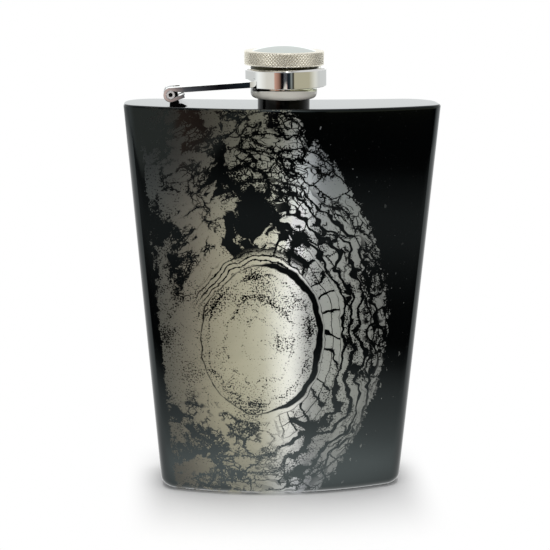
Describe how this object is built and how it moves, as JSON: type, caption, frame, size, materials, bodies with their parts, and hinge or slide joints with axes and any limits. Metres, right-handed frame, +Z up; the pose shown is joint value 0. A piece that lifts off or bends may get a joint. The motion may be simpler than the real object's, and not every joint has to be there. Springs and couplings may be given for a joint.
{
  "type": "hip flask",
  "caption": "Slim kidney-section hip flask with a tapered body, a threaded neck and a knurled screw cap held on a hinged arm.",
  "frame": {"origin": "on the base, under the axis of the neck", "axes": "+Z up along the neck's axis, +X to the right seen from the front, the convex front faces -Y"},
  "size_m": [0.0964, 0.0299, 0.1387],
  "materials": {
    "coated_steel": "gloss black coat over steel, the front laser-etched to bare metal",
    "pin_steel": "bright drawn tube",
    "polished_chrome": "mirror polished",
    "knurled_chrome": "diamond knurl, plated",
    "silicone": "matt, translucent white"
  },
  "bodies": {
    "flask": {"body_wall": "coated_steel", "base_tray": "coated_steel", "top_plate": "coated_steel", "neck": "coated_steel", "hinge_bracket": "coated_steel", "hinge_pin": "pin_steel"},
    "arm": {"cap_arm": "polished_chrome", "cap_ring": "polished_chrome"},
    "seal": {"cap_gasket": "silicone"},
    "cap": {"cap_head": "knurled_chrome", "cap_crown": "polished_chrome", "cap_sleeve": "polished_chrome"}
  },
  "joints": [
    {"name": "arm_swing", "type": "hinge", "parent": "flask", "child": "arm", "pos_m": [-0.034, 0, 0.1243], "axis": [0, -1, 0], "range_deg": [0, 178]},
    {"name": "cap_lift", "type": "slide", "parent": "arm", "child": "seal", "axis": [0, 0, 1], "range_m": [0, 0.0041]},
    {"name": "cap_spin", "type": "hinge", "parent": "seal", "child": "cap", "pos_m": [0, 0, 0.13], "axis": [0, 0, 1], "range_deg": [0, 720]}
  ],
  "couplings": [
    {"joint": "cap_lift", "follows": "cap_spin", "m_per_rad": 0.00031831}
  ]
}
